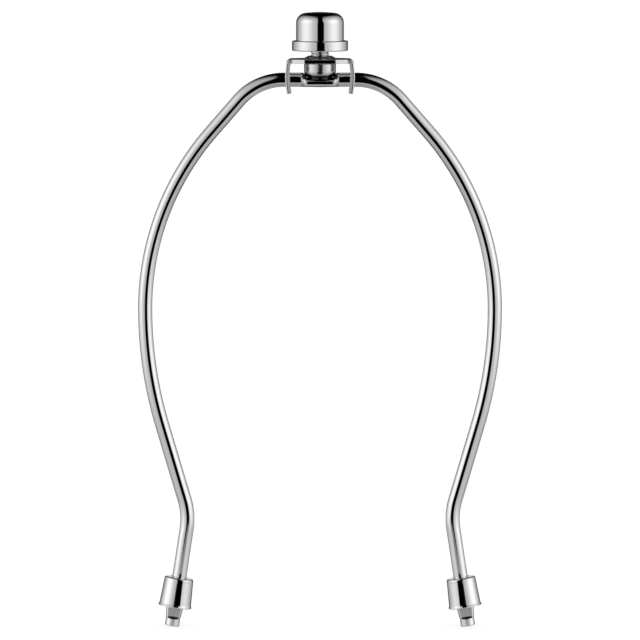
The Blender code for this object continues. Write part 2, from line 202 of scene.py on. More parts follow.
def turned(name, profile, closed=False, around=128, relief=0.0, place=None, **marks):
    """A surface of revolution: each point of the profile (radius, height) goes round the axis
    as x = radius cos(turn), y = radius sin(turn), z = height. relief is cut off the radius,
    row by column, as a thread is. place carries the points from the piece's axis to the model.
    """
    turns = np.linspace(0, 2 * math.pi, around, endpoint=False)[None, :]
    radius = profile[:, :1] - relief + 0 * turns
    own = np.stack([radius * np.cos(turns), radius * np.sin(turns),
                    profile[:, 1:] + 0 * turns], axis=-1)
    marks = {mark: values[:, None] + 0 * turns for mark, values in marks.items()}
    faces = grid_faces(len(profile), around, rows_close=closed)
    return make_mesh(name, own if place is None else place(own), faces, own, **marks)


# %% [markdown]
# ## Colours and nodes
#
# A colour picker shows sRGB, which is stored on a curve that suits the eye. Light adds up
# without that curve, so a colour is turned to linear before a shader gets it.
#
# A material is a small tree of nodes. One function adds any node, with its settings and with
# what feeds its sockets, so a tree reads from top to bottom like a recipe. All the metals here
# end in the same way: one noise is both the polish and the faint relief of the tool's marks.

# %% Colour and node helpers
def linear(hex_colour):
    """An sRGB hex colour as linear RGBA: below 0.04045 a channel is divided by 12.92, above it
    ((channel + 0.055) / 1.055) is raised to 2.4."""
    channels = np.array([int(hex_colour[i:i + 2], 16) for i in (1, 3, 5)]) / 255
    flat = np.where(channels <= 0.04045, channels / 12.92, ((channels + 0.055) / 1.055) ** 2.4)
    return (*flat.tolist(), 1.0)


def add(tree, kind, sockets=None, **settings):
    """Add one node. settings are its own properties. sockets maps an input's name or number to
    a value, or to what feeds it: an output, or a node, which stands for its first output."""
    node = tree.nodes.new(kind)
    for name, value in settings.items():
        setattr(node, name, value)
    for name, value in (sockets or {}).items():
        if isinstance(value, bpy.types.Node):
            value = value.outputs[0]
        if isinstance(value, bpy.types.NodeSocket):
            tree.links.new(value, node.inputs[name])
        else:
            node.inputs[name].default_value = value
    return node


def new_material(name):
    """An empty material and its node tree."""
    material = bpy.data.materials.new(name)
    material.use_nodes = True
    material.node_tree.nodes.clear()
    return material, material.node_tree


def end_in_metal(tree, place, colour, noise, polish, relief, low=0.3, worn=None,
                 recessed=False):
    """End a tree with a metal surface. In words: noise gives the scale, detail and roughness of
    a noise that is read at a place on the piece. As the noise goes from low to 0.7, the
    surface's roughness goes between the two of polish, and its bump has the strength and depth
    of relief. worn is a mark of the points, and the roughness where that mark is 1. A metal that
    takes painted shade goes to a dark grey where its points carry that mark: painted shade in
    corners and creases."""
    scale, detail, grit = noise
    marks = add(tree, "ShaderNodeTexNoise", {"Vector": place, "Scale": scale, "Detail": detail,
                                             "Roughness": grit})
    rough = add(tree, "ShaderNodeMapRange", {
        "Value": marks, "From Min": low, "From Max": 0.7, "To Min": polish[0],
        "To Max": polish[1]})
    if worn:
        mark = add(tree, "ShaderNodeAttribute", attribute_name=worn[0])
        rough = add(tree, "ShaderNodeMix", {"Factor": mark.outputs["Fac"], "A": rough,
                                            "B": worn[1]})
    bump = add(tree, "ShaderNodeBump", {"Height": marks, "Strength": relief[0],
                                        "Distance": relief[1]})
    # Painted shade: the colour is mixed towards dark grey where the points carry the shade mark.
    if recessed:
        mark = add(tree, "ShaderNodeAttribute", attribute_name="recess")
        painted_dark = add(tree, "ShaderNodeMix", {"Factor": mark.outputs["Fac"], "A": colour,
                                           "B": linear("#3C3B3A")}, data_type="RGBA")
        colour = painted_dark.outputs["Result"]
    metal = add(tree, "ShaderNodeBsdfPrincipled", {
        "Base Color": colour, "Metallic": 1.0, "Roughness": rough, "Normal": bump})
    add(tree, "ShaderNodeOutputMaterial", {"Surface": metal})


# %% [markdown]
# ## Chrome
#
# The wire, the cap and the sleeves are steel with decorative chrome: polished, nickel plated,
# then a thin coat of chromium. Chrome has almost no colour of its own, a very slightly blue
# grey, so nearly all that the eye sees is the room.
#
# What tells it from a computer's mirror is its history. Wire is pulled through a die and a cap
# is drawn over a punch, so both keep hair-fine marks along their length that survive plating.
# They are too fine to see one by one here, so they are drawn a few tenths of a millimetre wide,
# and they only change the roughness and tilt the surface a little. Where the foot's neck was
# pressed between dies, the face came out matt. The corner round the stud and the crease above
# each foot's head are painted dark grey: painted shade where the shade of those corners falls.

# %% Polished chrome
MARK_WIDTH = 0.35
MARK_LENGTH = 40.0
chrome, tree = new_material("decorative chrome over drawn steel")
own = add(tree, "ShaderNodeAttribute", attribute_name="own")
along_marks = add(tree, "ShaderNodeMapping", {
    "Vector": own.outputs["Vector"],
    "Scale": (1 / MARK_WIDTH, 1 / MARK_WIDTH, 1 / MARK_LENGTH),
})
pressed = add(tree, "ShaderNodeAttribute", attribute_name="pressed")
tint = add(tree, "ShaderNodeMix", {"Factor": pressed.outputs["Fac"], "A": linear("#E6E6E7"),
                                   "B": linear("#DCDCDC")}, data_type="RGBA")
end_in_metal(tree, along_marks, tint.outputs["Result"], noise=(1.0, 3.0, 0.6),
             polish=(0.05, 0.09), relief=(0.05, 0.00002), low=0.35, worn=("pressed", 0.5),
             recessed=True)
print("made:", chrome.name)

# %% [markdown]
# ## Satin nickel
#
# The plate is stamped from strip and then nickel plated in a barrel with hundreds like it.
# They knock against each other, so the flat faces get a soft even gloss. A cut edge has three
# zones: the top is dragged round, then comes a band that the punch burnished, and below that
# the sheet tore, which leaves it rougher than the rest.

# %% Satin nickel
GRAIN = 0.25
nickel, tree = new_material("barrel plated nickel on stamped steel")
own = add(tree, "ShaderNodeAttribute", attribute_name="own")
end_in_metal(tree, own.outputs["Vector"], linear("#E9E9E8"), noise=(1 / GRAIN, 4.0, 0.65),
             polish=(0.07, 0.13), relief=(0.08, 0.00003), worn=("sheared", 0.65))
print("made:", nickel.name)

# %% [markdown]
# ## Turned nickel and plain steel
#
# The stud is turned on a lathe from bar and plated bright. The tool leaves rings a tenth of a
# millimetre apart, which here are lines of noise that change with height and radius only. The
# finial's nut is the same work without the plating, so it is greyer and duller.

# %% Turned metals
RING_PITCH = 0.12


def turned_metal(name, colour, polish, strength, recessed=False):
    """A lathe-turned metal. Its rings are noise read at (radius, height) of the piece, so they
    run round the axis: radius is the length of the place with its height set to nothing."""
    material, tree = new_material(name)
    own = add(tree, "ShaderNodeAttribute", attribute_name="own")
    flat = add(tree, "ShaderNodeVectorMath", {0: own.outputs["Vector"], 1: (1, 1, 0)},
               operation="MULTIPLY")
    radius = add(tree, "ShaderNodeVectorMath", {0: flat}, operation="LENGTH")
    split = add(tree, "ShaderNodeSeparateXYZ", {0: own.outputs["Vector"]})
    place = add(tree, "ShaderNodeCombineXYZ", {"X": radius.outputs["Value"],
                                               "Z": split.outputs["Z"]})
    end_in_metal(tree, place, linear(colour), noise=(1 / RING_PITCH, 2.0, 0.5),
                 polish=polish, relief=(strength, 0.00003), recessed=recessed)
    print("made:", name)
    return material


# The stud's nickel takes painted shade in its lower corner.
bright_nickel = turned_metal("bright nickel on a turned stud", "#D8D8D7", (0.17, 0.24), 0.1,
                             recessed=True)
plain_steel = turned_metal("plain turned steel", "#C5C6C7", (0.3, 0.42), 0.2)

# %% [markdown]
# ## The wire's path
#
# A bending machine knows only two moves: push straight, and bend round a pin. So the bow is a
# chain of straight runs and arcs, from the middle of the top down to one foot, and the other
# half is its mirror. This is how the model has it too, with the same numbers.

# %% Runs of the wire
def push(length):
    """A straight run, as its length and the angle that it turns by."""
    return length, 0.0


def bend(radius, degrees):
    """An arc of a radius: degrees more than 0 turn down, less than 0 turn back up."""
    return radius * math.radians(abs(degrees)), math.radians(degrees)


WIRE_RUNS = (push(12.3), bend(20.0, 49), push(14.6), bend(91.6, 41), bend(139.3, 16.5),
             push(26.6), bend(23.3, -25.15), push(33.5))
WIRE_LENGTH = sum(length for length, _ in WIRE_RUNS)
SPLAY = math.radians(8.65)


def along(runs, distance):
    """x, z and heading (radians below the horizontal) at each distance along a chain of runs.

    In words: a straight run moves by its length times the cosine of the heading sideways and
    the sine of it down. A bend turns the heading by its angle times the share of it travelled,
    and moves by its radius times the change in the heading's sine and cosine."""
    distance = np.asarray(distance, float)
    x, z, heading = np.zeros((3, *distance.shape))
    start = 0.0
    for length, turn in runs:
        step = np.clip(distance - start, 0, length)
        after = heading + turn * step / length
        if turn:
            x = x + length / turn * (np.sin(after) - np.sin(heading))
            z = z + length / turn * (np.cos(after) - np.cos(heading))
        else:
            x = x + step * np.cos(heading)
            z = z - step * np.sin(heading)
        heading = after
        start += length
    return x, z, heading


FOOT_X, foot_drop, _ = (float(value) for value in along(WIRE_RUNS, WIRE_LENGTH))
FOOT_Z = WIRE_Z + foot_drop
print(f"half the wire is {WIRE_LENGTH:.1f} mm long, its foot ends at {FOOT_X:.2f}, {FOOT_Z:.2f}")

# %% [markdown]
# ## The wire's section
#
# The wire is round, except in two places. In the middle a press has squeezed it down to a flat
# pad for the stud, and above each foot it is pinched to a 3 mm neck, under a short round head
# that hooks into the lamp.
#
# Metal does not vanish in a press: it goes sideways, so the pad and the neck are wider than
# the wire. Their edges come out as fat curves, for which a superellipse is a good likeness.
# The flats are a round section cut short, softly, since no die leaves a knife edge.

# %% Section of the wire along its length
PAD_HALF_WIDTH = 4.6
PAD_SQUARENESS = 0.7
RAMP_START, RAMP_END = 3.9, 5.9
CORNER_START, CORNER_END = 4.2, 6.4
HEAD_RADIUS, HEAD_LENGTH = 2.435, 2.7
HEAD_EDGE = 0.3
NECK_STEP, NECK_TAPER = 0.4, 1.2
NECK_FLAT = 1.5
NECK_ACROSS = 2.45
NECK_KEYS = (3.1, 5.05, 6.6, 15.1, 16.3)
NECK_HALF_WIDTHS = (2.5, 2.74, 2.92, 3.1, WIRE_RADIUS)
FLAT_EDGE = 0.06


def smooth(share):
    """0 to 1 without a corner at either end: 3 share squared minus 2 share cubed."""
    share = np.clip(share, 0, 1)
    return share * share * (3 - 2 * share)


def wire_section(distance):
    """The wire's section at each distance from the middle: how far it reaches outwards, inwards
    and across, where flats cut it short, how square it is, and how much it shrinks at its end.

    In words: the pad's top drops by a smooth ramp and its width follows a quarter circle, as a
    rounded corner does in plan. The neck's widths run straight between a few keys, counted
    from the foot. The head's end is a quarter circle too."""
    from_foot = WIRE_LENGTH - distance
    pad_top = PAD_TOP - WIRE_Z
    outwards = pad_top + (WIRE_RADIUS - pad_top) * smooth(
        (distance - RAMP_START) / (RAMP_END - RAMP_START))
    inwards = np.full_like(distance, WIRE_RADIUS)
    corner = np.clip((distance - CORNER_START) / (CORNER_END - CORNER_START), 0, 1)
    corner = np.sqrt(1 - corner**2)
    across = WIRE_RADIUS + (PAD_HALF_WIDTH - WIRE_RADIUS) * corner
    square = 2 + PAD_SQUARENESS * corner

    neck = from_foot < NECK_KEYS[-1]
    half = np.interp(from_foot, NECK_KEYS, NECK_HALF_WIDTHS)
    step = smooth((from_foot - HEAD_LENGTH) / NECK_STEP)
    half = HEAD_RADIUS + (half - HEAD_RADIUS) * step
    outwards, inwards = (np.where(neck, half, reach) for reach in (outwards, inwards))
    taper = smooth((NECK_KEYS[-1] - from_foot) / NECK_TAPER)
    across = np.where(neck, WIRE_RADIUS + (NECK_ACROSS - WIRE_RADIUS) * taper, across)
    head = HEAD_RADIUS + (NECK_ACROSS - HEAD_RADIUS) * step
    across = np.where(from_foot < NECK_KEYS[0], head, across)
    pinch = step * taper
    flat = across + (NECK_FLAT - across) * pinch
    end = np.clip((HEAD_EDGE - from_foot) / HEAD_EDGE, 0, 1)
    shrink = 1 - HEAD_EDGE / HEAD_RADIUS * (1 - np.sqrt(1 - end**2))
    return outwards, inwards, across, flat, pinch, square, shrink


# %% Loft the wire
WIRE_AROUND = 80
PAD_ZONE, FOOT_ZONE = 7, 18
CREASE, CREASE_START, CREASE_SPREAD = 2.85, 1.4, 0.2
SOFT, FIRM = 0.3, 0.15


def wire_distances():
    """Distances along half the wire that need a row: close together at the pad and the foot."""
    turns = np.linspace(0, math.pi / 2, 17)
    foot = WIRE_LENGTH - np.concatenate([
        HEAD_EDGE * (1 - np.sin(turns)), np.linspace(0.5, 4.2, 38),
        np.arange(4.6, FOOT_ZONE, 0.4)])
    found = np.concatenate([
        np.linspace(0, PAD_ZONE, 57), CORNER_START + (CORNER_END - CORNER_START) * np.sin(turns),
        np.arange(PAD_ZONE + 0.5, WIRE_LENGTH - FOOT_ZONE, 0.9), foot])
    return np.unique(found.round(4))


def loft_wire():
    """The bow: at each distance, a section square to the path.

    In words: a point of the section stands the superellipse's out = reach sgn(cos t)
    |cos t|^(2/n) outwards and across = width sgn(sin t) |sin t|^(2/n) across. A softened
    minimum, -k log(e^(-across/k) + e^(-flat/k)), cuts it short at the flats. The path's
    heading h sets it in place: x + out sin h, across, z + out cos h. Beyond the end, three
    more rows shrink to the axis and close the foot. Points are marked pressed on the neck's
    flats. Round the stud, and along the crease, which widens towards the sides, they carry the
    painted shade mark."""
    half = wire_distances()
    half = np.concatenate([half, np.full(3, half[-1])])
    close = np.ones_like(half)
    close[-3:] = (0.66, 0.33, 0.0)
    side = np.concatenate([-np.ones(len(half)), np.ones(len(half) - 1)])[:, None]
    distance = np.concatenate([half[::-1], half[1:]])
    close = np.concatenate([close[::-1], close[1:]])[:, None]
    sections = wire_section(distance)
    outwards, inwards, across, flat, pinch, square, shrink = (s[:, None] for s in sections)
    x, z, heading = (value[:, None] for value in along(WIRE_RUNS, distance))

    turns = np.linspace(0, 2 * math.pi, WIRE_AROUND, endpoint=False)[None, :]
    power = 2 / square
    cosine = np.sign(np.cos(turns)) * np.abs(np.cos(turns)) ** power
    sine = np.sign(np.sin(turns)) * np.abs(np.sin(turns)) ** power
    out = ((outwards - inwards) + (outwards + inwards) * cosine) / 2 * shrink * close
    width = across * np.abs(sine)
    soft = np.maximum(FLAT_EDGE * pinch, 1e-4)
    cut = -soft * np.logaddexp(-width / soft, -flat / soft)
    cut = np.where(pinch > 0, np.maximum(cut, 0), width) * np.sign(sine) * shrink * close
    points = np.stack([side * (x + out * np.sin(heading)), cut,
                       WIRE_Z + z + out * np.cos(heading)], axis=-1)
    own = np.stack([out, cut, side * distance[:, None] + 0 * out], axis=-1)
    pressed = np.clip((pinch - 0.85) / FIRM, 0, 1) * np.clip((width - flat) / FIRM, 0, 1)
    # Painted shade: the pad's top round the stud and a band at the crease above the head are
    # marked to be painted dark.
    by_stud = smooth((RAMP_END + 0.2 - distance[:, None]) / SOFT) * smooth((out - 0.1) / SOFT)
    from_crease = np.abs(WIRE_LENGTH - distance[:, None] - CREASE)
    crease = smooth((CREASE_SPREAD * width - from_crease) / FIRM)
    crease = crease * smooth((width - CREASE_START) / SOFT)
    faces = grid_faces(len(distance), WIRE_AROUND)
    return make_mesh("wire_bow", points, faces, own, pressed=pressed,
                     recess=np.maximum(by_stud, crease))


wire = loft_wire()

# %% [markdown]
# ## The rivet's hole
#
# The stud's tail goes down through the pad and is spread into a countersink below, so that it
# ends almost flush. A hole is easiest as a cut: a turned tool of the hole's shape is taken away
# from the wire with a Boolean, whose result is then kept as the mesh.

# %% Drill the pad
HOLE_RADIUS = 2.2
SINK_DEPTH = 1.1
DRILL_ABOVE, DRILL_BELOW = 3, 1


def take_away(piece, tool):
    """Cut a tool out of a piece, keep the result as the piece's mesh, and remove the tool."""
    cut = piece.modifiers.new("cut", "BOOLEAN")
    cut.operation, cut.solver, cut.object = "DIFFERENCE", "EXACT", tool
    evaluated = piece.evaluated_get(bpy.context.evaluated_depsgraph_get())
    result = bpy.data.meshes.new_from_object(evaluated)
    weld(result)
    piece.modifiers.clear()
    piece.data = result
    bpy.data.objects.remove(tool)
    piece.data.set_sharp_from_angle(angle=SHARP_EDGE)


drill = turned("drill", rounded([
    (0, PAD_TOP + DRILL_ABOVE), (HOLE_RADIUS, PAD_TOP + DRILL_ABOVE),
    (HOLE_RADIUS, PAD_BOTTOM + SINK_DEPTH),
    (HOLE_RADIUS + SINK_DEPTH + DRILL_BELOW, PAD_BOTTOM - DRILL_BELOW),
    (0, PAD_BOTTOM - DRILL_BELOW)], step=5), around=64)
take_away(wire, drill)
print("wire after drilling:", len(wire.data.polygons), "faces")

# %% [markdown]
# ## Dressing the model
#
# A finished surface takes the place of its plain twin in the model. It gets its finish, says
# which node it stands for, and rides on the body that carries it when the harp moves.

# %% Put the wire in its place
def dress(piece, node, body, material):
    """Give a piece its finish, let it stand for a node of the model, and tie it to a body."""
    piece.data.materials.clear()
    piece.data.materials.append(material)
    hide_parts(node)
    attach(piece, body)
    print(f"{piece.name} stands for {node} on {body}, in {material.name}")


dress(wire, "harp_wire", "harp", chrome)

# %% [markdown]
# ## The stud
#
# The stud is one turned piece: thread above, a cup-shaped collar that carries the plate, and
# the tail that is riveted below. The thread is the harp standard, 27 turns to the inch, so one
# turn climbs 0.94 mm.
#
# A thread isn't rings. It climbs as it goes round, so the depth of the groove depends on height
# and angle together, and the two meet again after one full turn.
#
# Riveting pulls the collar down onto the pad, so under its cup the stud has a short straight bed
# that is pressed a little into the wire.

# %% Threads
PITCH = 25.4 / 27
THREAD_RADIUS = 3.05
THREAD_DEPTH = 0.35
THREAD_CREST = 0.4
THREAD_START = 0.3


def groove(height, turns):
    """How deep a thread is cut, 0 on a crest and 1 in a root. In words: a rounded zigzag,
    1/2 - asin(0.94 cos(2 pi phase)) / (2 asin 0.94), with phase = height / pitch - turn, of
    which the lowest part is cut off, because a crest is flat."""
    phase = height / PITCH - turns + THREAD_START
    zigzag = 0.5 - np.arcsin(0.94 * np.cos(2 * math.pi * phase)) / (2 * math.asin(0.94))
    return np.clip((zigzag - THREAD_CREST) / (1 - THREAD_CREST), 0, 1)


# %% Turn the stud
COLLAR_RADIUS, COLLAR_BASE, COLLAR_HEIGHT, COLLAR_CURVE = 5.42, 3.75, 4.75, 2.1
COLLAR_BOTTOM = PAD_TOP + 0.3
COLLAR_TOP = COLLAR_BOTTOM + COLLAR_HEIGHT
CHAMFER = 0.6
RUN_OUT, RUN_IN = 0.8, 0.9
BED_RADIUS, BED_BOTTOM = 4.3, PAD_TOP - 0.25
TAIL_RADIUS, TAIL_FLARE, TAIL_BULGE = 1.9, 0.976, 0.15
DARK_HEIGHT, DARK_FADE = 1.2, 0.5
STUD_AROUND = 96
cup_turn = math.acos((BED_RADIUS - COLLAR_BASE) / (COLLAR_RADIUS - COLLAR_BASE))
cup_turns = np.linspace(0, cup_turn, 15)
cup = np.stack([COLLAR_BASE + (COLLAR_RADIUS - COLLAR_BASE) * np.cos(cup_turns),
                COLLAR_BOTTOM + COLLAR_CURVE * (1 - np.sin(cup_turns))], axis=1)
thread_rows = np.arange(THREAD_TOP - CHAMFER, COLLAR_TOP + 0.1, -0.07)
stud_line = np.concatenate([
    rounded([(0, THREAD_TOP), (THREAD_RADIUS - CHAMFER, THREAD_TOP, 0.05),
             (THREAD_RADIUS, THREAD_TOP - CHAMFER)])[:-1],
    np.stack([np.full_like(thread_rows, THREAD_RADIUS), thread_rows], axis=1),
    rounded([(THREAD_RADIUS, COLLAR_TOP), (COLLAR_RADIUS, COLLAR_TOP, 0.2), tuple(cup[0])]),
    cup[1:],
    rounded([(BED_RADIUS, BED_BOTTOM), (TAIL_RADIUS, BED_BOTTOM),
             (TAIL_RADIUS, PAD_BOTTOM + TAIL_FLARE), (TAIL_RADIUS + TAIL_FLARE, PAD_BOTTOM, 0.1),
             (0, PAD_BOTTOM - TAIL_BULGE)]),
])
stud_radius, stud_height = stud_line.T
depth_here = smooth((stud_height - COLLAR_TOP - 0.1) / RUN_OUT) * (
    smooth((THREAD_TOP - stud_height) / RUN_IN)) * (stud_radius > THREAD_RADIUS - CHAMFER - 0.05)
turn_share = np.linspace(0, 1, STUD_AROUND, endpoint=False)[None, :]
# Painted shade: the stud's lower corner, where the cup sits on the pad, is marked to be painted
# dark.
in_corner = smooth((COLLAR_BOTTOM + DARK_HEIGHT - stud_height) / DARK_FADE) * (
    stud_height > BED_BOTTOM - 0.01)
stud = turned("turned_stud", stud_line, around=STUD_AROUND, recess=in_corner,
              relief=THREAD_DEPTH * depth_here[:, None] * groove(stud_height[:, None], turn_share))
dress(stud, "threaded_stud", "harp", bright_nickel)

# %% [markdown]
# ## The plate
#
# The plate is stamped: a flat blank is cut out, the middle is pushed up into a low dome, and
# the ends are bent down into forks that stand astride the wire. It is made here in the same
# order. The outline is drawn flat, with every corner rounded, and filled with triangles. Then
# each point is carried over the bent path, once for the top face and once for the bottom.
#
# Between the faces runs the cut edge. Shearing drags the top edge down into a soft round and
# leaves the lower one crisp, so the edge's own profile has a large radius and a small one.

# %% Flat blank of the plate
FLAT_LENGTH, LEG_LENGTH = 9.5, 10.0
PLATE_RUNS = (push(FLAT_LENGTH), bend(1.25, 82), (LEG_LENGTH, math.radians(20)))
PLATE_LENGTH = sum(length for length, _ in PLATE_RUNS)
WIDE_LENGTH, WIDE_HALF, ARM_HALF = 5.3, 6.3, 4.6
DOME_RADIUS, DOME_TOP_RADIUS = 6.1, 3.7
PLATE_HOLE = 3.4
SLOT_HALF = 2.7
EDGE_ROUND, EDGE_CRISP, EDGE_MARGIN, EDGE_REACH = 0.4, 0.12, 0.45, 0.32

reach = np.linspace(FLAT_LENGTH, PLATE_LENGTH, 2000)
slot_top = float(np.interp(PLATE_MIDDLE - WIRE_Z - SLOT_HALF, -along(PLATE_RUNS, reach)[1], reach))
half_end = [
    (WIDE_LENGTH, WIDE_HALF, 0.8), (FLAT_LENGTH, ARM_HALF, 1.2), (PLATE_LENGTH, ARM_HALF, 0.6),
    (PLATE_LENGTH, SLOT_HALF, 0.5), (slot_top, SLOT_HALF, SLOT_HALF - 0.01),
]
one_end = half_end + [(u, -v, radius) for u, v, radius in half_end[::-1]]
outline = rounded(one_end + [(-u, -v, radius) for u, v, radius in one_end], closed=True,
                  step=0.15)
spin = np.linspace(0, 2 * math.pi, 96, endpoint=False)
circle = np.stack([np.cos(spin), np.sin(spin)], axis=1)
hole = PLATE_HOLE * circle
print(f"slot starts {slot_top:.2f} along the strip; outline {len(outline)} points")


def inward(loop):
    """Unit normals of a closed line about the origin: the direction from the point before to
    the point after, turned a quarter round, to the side where most of them point inwards."""
    tangent = np.roll(loop, -1, axis=0) - np.roll(loop, 1, axis=0)
    tangent /= np.linalg.norm(tangent, axis=1)[:, None]
    normal = np.stack([tangent[:, 1], -tangent[:, 0]], axis=1)
    return -normal if np.sum(normal * loop) > 0 else normal


def distance_to(line, points):
    """Distance from each point to the nearest point of a line, worked out in blocks so that the
    table of distances stays small."""
    blocks = np.array_split(points, max(1, len(points) // 1000))
    return np.concatenate([
        np.min(np.hypot(block[:, :1] - line[:, 0], block[:, 1:] - line[:, 1]), axis=1)
        for block in blocks])


# %% Fill the blank with triangles
INSIDE_LOOPS, SNAP = 2, 1e-5


def filling_points(border):
    """Points to fill the blank: lines across the strip, close together in the bends, and rings
    round the dome. Only those inside the border and clear of it are kept. A point is inside
    where a line from it to the right crosses the border an odd number of times."""
    in_bend = np.linspace(FLAT_LENGTH, FLAT_LENGTH + PLATE_RUNS[1][0], 17)
    half = np.concatenate([np.arange(0, FLAT_LENGTH - 0.2, 0.6), in_bend,
                           np.arange(in_bend[-1] + 0.4, PLATE_LENGTH, 0.5)])
    u, v = np.meshgrid(np.unique(np.concatenate([-half, half]).round(4)), np.arange(-6, 6.1, 0.5))
    grid = np.stack([u.ravel(), v.ravel()], axis=1)
    grid = grid[np.hypot(*grid.T) > DOME_RADIUS + 0.35]
    rings = np.linspace(PLATE_HOLE + EDGE_MARGIN + 0.1, DOME_RADIUS + 0.1, 11)[:, None, None]
    points = np.concatenate([grid, (rings * circle).reshape(-1, 2)])
    start, end = border, np.roll(border, -1, axis=0)
    level = points[:, 1:]
    spans = (start[:, 1] > level) != (end[:, 1] > level)
    climb = np.where(spans, end[:, 1] - start[:, 1], 1)
    cross = start[:, 0] + (level - start[:, 1]) / climb * (end[:, 0] - start[:, 0])
    inside = (spans & (cross > points[:, :1])).sum(axis=1) % 2 == 1
    return points[inside & (distance_to(border, points) > 0.12)]


def fill(border, opening):
    """Triangles between a closed border and an opening in it, with the filling points as
    corners: a Delaunay triangulation, which keeps the triangles as fat as it can. Triangles
    with all three corners on the opening's ring would close it, so they are left out."""
    rings = np.arange(len(border)), len(border) + np.arange(len(opening))
    edges = np.concatenate([np.stack([ring, np.roll(ring, -1)], axis=1) for ring in rings])
    points = np.concatenate([border, opening, filling_points(border)])
    found = delaunay_2d_cdt([Vector(point) for point in points.tolist()], edges.tolist(), [],
                            INSIDE_LOOPS, SNAP)
    points, corners = np.array([vertex[:] for vertex in found[0]]), np.array(found[2])
    reach = np.linalg.norm(points[corners], axis=2).max(axis=1)
    return points, corners[reach > np.linalg.norm(opening, axis=1).max() + 0.001]


outline_in = inward(outline)
sheet, triangles = fill(outline + EDGE_MARGIN * outline_in, hole + EDGE_MARGIN * circle)
print(f"blank: {len(sheet)} points, {len(triangles)} triangles")

# %% Bend the plate
edge_line = rounded([(EDGE_MARGIN, 0), (0, 0, EDGE_ROUND), (0, PLATE_THICK, EDGE_CRISP),
                     (EDGE_MARGIN, PLATE_THICK)], step=0.12)


def on_plate(flat, depth):
    """Carry points of the flat blank over the bent path. In words: the distance along the
    strip gives the place on the path and the heading h there. A point at a depth below the
    top face stands half the thickness minus that depth off the middle, along (sin h, cos h).
    The dome lifts it by a smooth step of its distance from the stud's axis."""
    u, v = flat[..., 0], flat[..., 1]
    x, z, heading = along(PLATE_RUNS, np.abs(u))
    off = PLATE_THICK / 2 - depth
    lift = DOME_RISE * smooth((DOME_RADIUS - np.hypot(u, v)) / (DOME_RADIUS - DOME_TOP_RADIUS))
    return np.stack([np.sign(u) * (x + off * np.sin(heading)), v + 0 * off,
                     PLATE_MIDDLE + z + off * np.cos(heading) + lift], axis=-1)


def bend_plate():
    """Both faces of the sheet and the cut edges between them, as one closed mesh. The legs'
    cut edge is marked sheared below its rounded top, where the sheet tore."""
    parts = [(sheet, np.zeros(len(sheet)), triangles),
             (sheet, np.full(len(sheet), PLATE_THICK), triangles)]
    for loop, into in ((outline, outline_in), (hole, circle)):
        flat = loop[None] + edge_line[:, :1, None] * into[None]
        depth = edge_line[:, 1:] + np.zeros(len(loop))
        parts.append((flat.reshape(-1, 2), depth.ravel(), grid_faces(len(edge_line), len(loop))))
    flats, depths, faces, first = [], [], [], 0
    for flat, depth, corners in parts:
        flats.append(flat)
        depths.append(depth)
        faces += (corners + first).tolist()
        first += len(flat)
    flat, depth = np.concatenate(flats), np.concatenate(depths)
    own = np.concatenate([flat, depth[:, None]], axis=1)
    cut_edge = np.clip((EDGE_REACH - distance_to(outline, flat)) / 0.1, 0, 1)
    leg = smooth((np.abs(flat[:, 0]) - FLAT_LENGTH + 0.5) / 1.5)
    torn = smooth((depth - EDGE_ROUND - 0.05) / 0.25)
    return make_mesh("stamped_plate", on_plate(flat, depth), faces, own,
                     sheared=cut_edge * leg * torn)


plate = bend_plate()
dress(plate, "top_plate", "harp", nickel)

# %% [markdown]
# ## The finial
#
# The finial is two pieces. The cap is drawn from thin sheet: a punch pushes it into a die, so
# its wall is the same thickness all over. Its rim is then folded in under the nut's flange,
# which holds the two together for good. The nut has a blind bore with the same thread.
#
# The crown's top isn't flat but a very shallow arc that runs into the rounded shoulder without
# a corner. For that, both arcs' centres and the point where they meet have to lie on one line.

# %% Draw the cap
RIM_RADIUS, RIM_HEIGHT, CROWN_RADIUS = 9.5, 3.4, 8.1
SHOULDER, TOP_ARC, WALL = 3.3, 41.85, 0.6
CRIMP = 1.9
RIM_TOP = RIM_BOTTOM + RIM_HEIGHT


def crown_line(offset):
    """Profile of the crown from its axis down to its side, set in by an offset: an arc of the
    large radius about a centre on the axis, then an arc of the shoulder's radius."""
    centre_r = CROWN_RADIUS - SHOULDER
    centre_z = CROWN_TOP - TOP_ARC + math.sqrt((TOP_ARC - SHOULDER) ** 2 - centre_r**2)
    tilt = math.asin(centre_r / (TOP_ARC - SHOULDER))
    top, side = np.linspace(0, tilt, 14)[:-1], np.linspace(tilt, math.pi / 2, 25)
    big, small = TOP_ARC - offset, SHOULDER - offset
    return np.concatenate([
        np.stack([big * np.sin(top), CROWN_TOP - TOP_ARC + big * np.cos(top)], axis=1),
        np.stack([centre_r + small * np.sin(side), centre_z + small * np.cos(side)], axis=1)])


cap_outside = rounded([
    tuple(crown_line(0)[-1]), (CROWN_RADIUS, RIM_TOP, 0.3), (RIM_RADIUS, RIM_TOP, 0.4),
    (RIM_RADIUS, RIM_BOTTOM, 0.4), (RIM_RADIUS - CRIMP, RIM_BOTTOM, 0.2),
    (RIM_RADIUS - CRIMP, RIM_BOTTOM + WALL, 0.2), (RIM_RADIUS - WALL, RIM_BOTTOM + WALL),
    (RIM_RADIUS - WALL, RIM_TOP - WALL), (CROWN_RADIUS - WALL, RIM_TOP - WALL),
    tuple(crown_line(WALL)[-1])])
cap_line = np.concatenate([crown_line(0)[:-1], cap_outside, crown_line(WALL)[-2::-1]])
cap = turned("finial_shell", cap_line)
dress(cap, "finial_cap", "finial", chrome)

